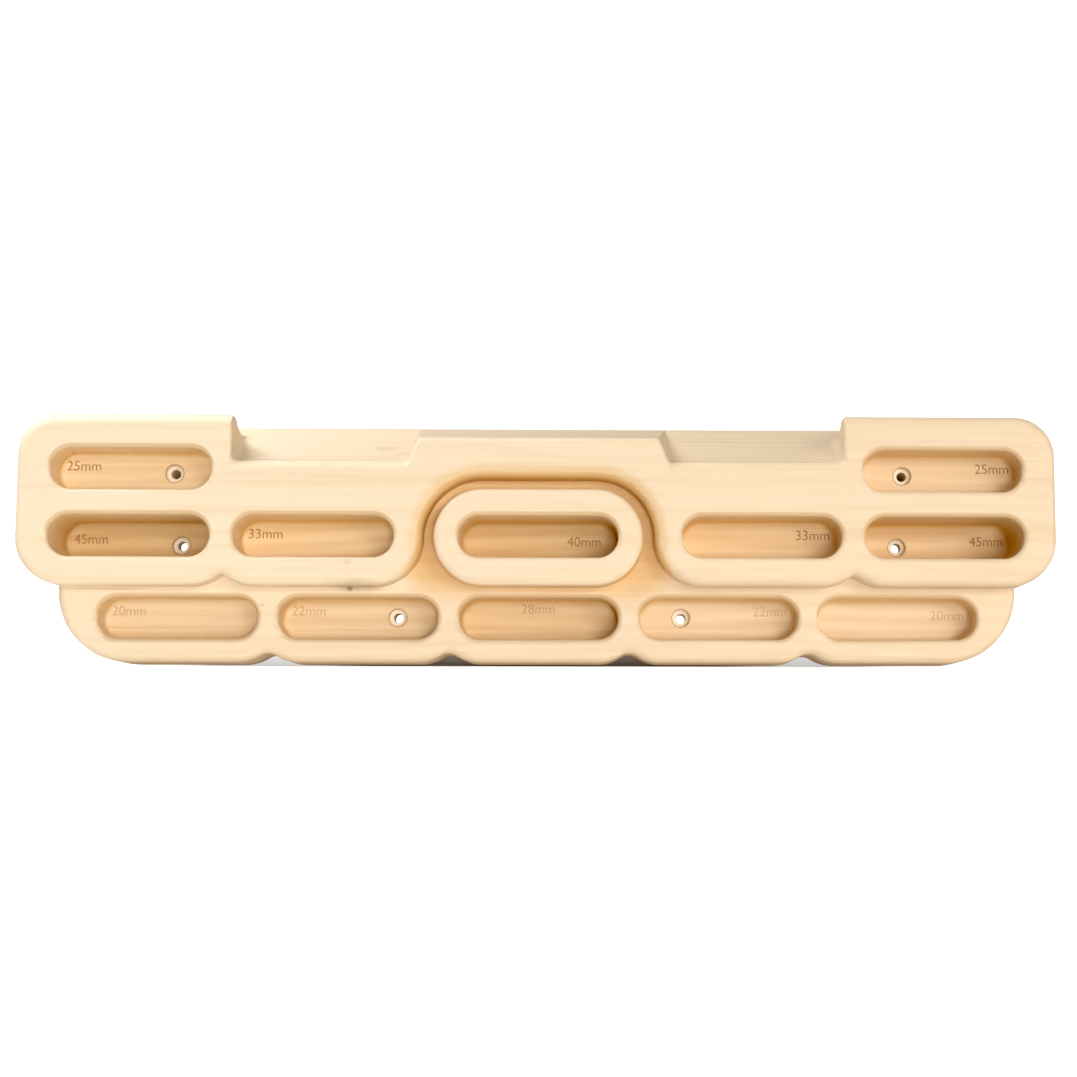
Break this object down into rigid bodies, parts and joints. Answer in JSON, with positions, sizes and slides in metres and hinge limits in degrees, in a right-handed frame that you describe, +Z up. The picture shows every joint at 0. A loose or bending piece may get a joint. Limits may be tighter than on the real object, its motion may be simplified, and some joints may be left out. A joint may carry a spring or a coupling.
{
  "type": "hangboard",
  "caption": "Wooden finger training board for a wall: rows of racetrack pockets of several depths, a raised middle boss, two slopers and two jug ears",
  "frame": {"origin": "middle of the flat back face: centre of the width and of the height", "axes": "+X to the right as seen from the front, +Y out of the back towards the wall, +Z up; the front faces -Y"},
  "size_m": [0.65, 0.058, 0.155],
  "materials": {
    "stave_1_bottom_wood": "sanded bare pale hardwood, matte",
    "stave_2_lower_pockets_wood": "sanded bare pale hardwood, matte",
    "stave_3_step_wood": "sanded bare pale hardwood, matte",
    "stave_4_middle_wood": "sanded bare pale hardwood, matte",
    "stave_5_arch_wood": "sanded bare pale hardwood, matte",
    "stave_6_upper_pockets_wood": "sanded bare pale hardwood, matte",
    "stave_7_top_wood": "sanded bare pale hardwood, matte"
  },
  "bodies": {
    "root": {"stave_1_bottom": "stave_1_bottom_wood", "stave_2_lower_pockets": "stave_2_lower_pockets_wood", "stave_3_step": "stave_3_step_wood", "stave_4_middle": "stave_4_middle_wood", "stave_5_arch": "stave_5_arch_wood", "stave_6_upper_pockets": "stave_6_upper_pockets_wood", "stave_7_top": "stave_7_top_wood"}
  },
  "joints": []
}
